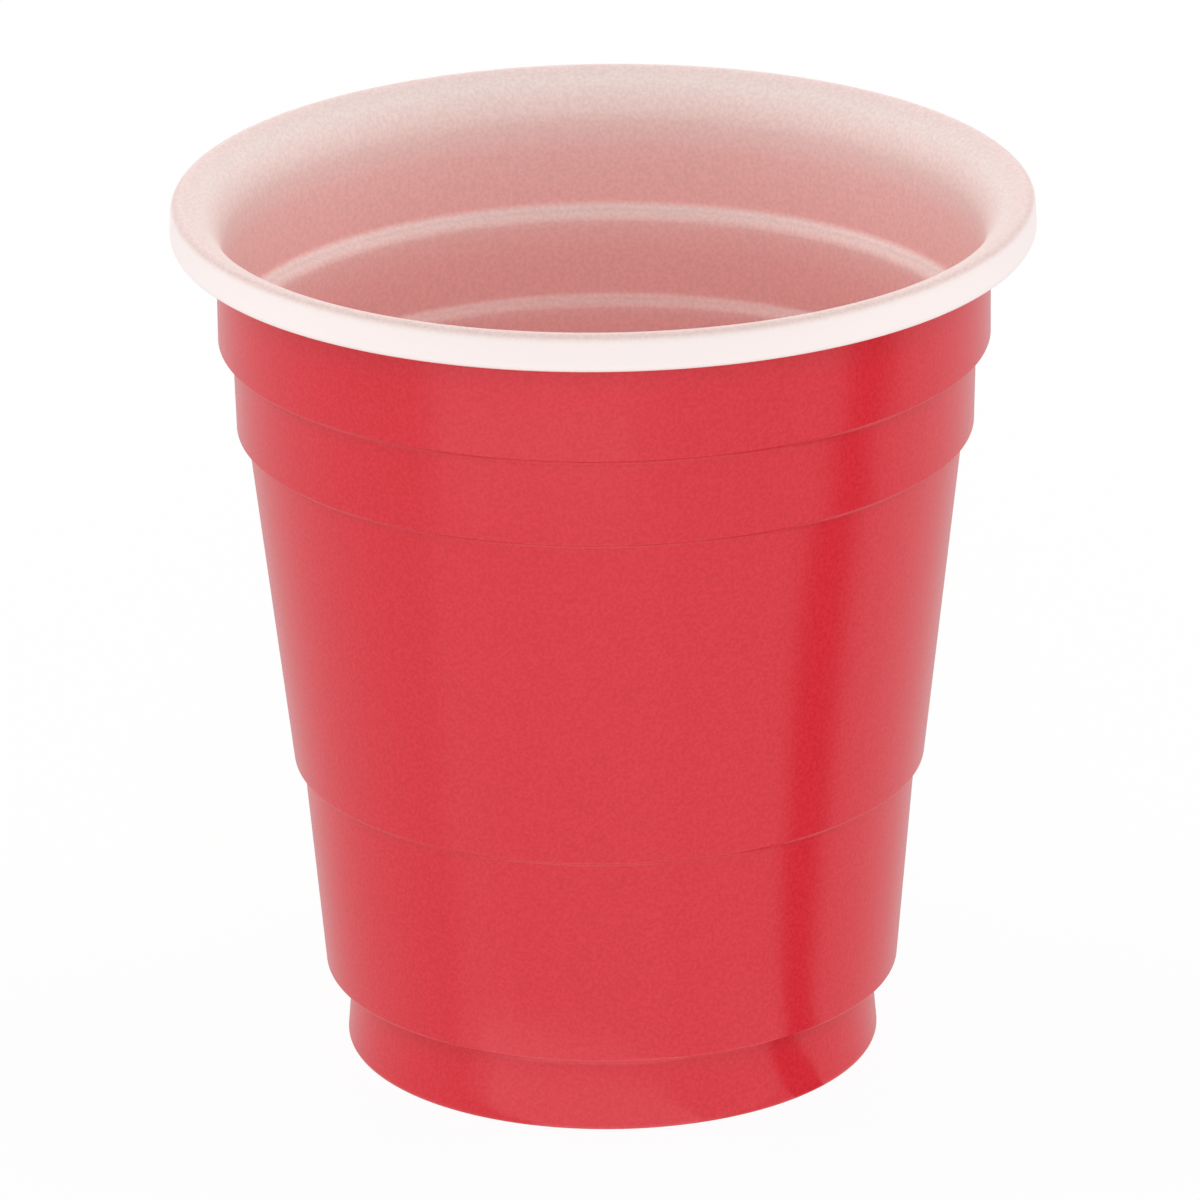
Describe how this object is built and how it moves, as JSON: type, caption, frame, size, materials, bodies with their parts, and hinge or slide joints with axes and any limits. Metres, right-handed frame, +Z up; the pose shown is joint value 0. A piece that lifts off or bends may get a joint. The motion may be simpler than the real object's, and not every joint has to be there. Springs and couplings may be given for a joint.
{
  "type": "plastic shot glass",
  "caption": "Small disposable drinking cup with a rolled rim, a stepped tapered wall and a raised floor inside a foot ring.",
  "frame": {"origin": "middle of the base, on the plane of the foot ring", "axes": "+Z up along the cup's axis, towards the open rim"},
  "size_m": [0.054, 0.054, 0.0562],
  "materials": {
    "sheet": "thermoformed polystyrene sheet, glossy red outside, white inside and over the rolled rim"
  },
  "bodies": {
    "root": {"shot_cup": "sheet"}
  },
  "joints": []
}
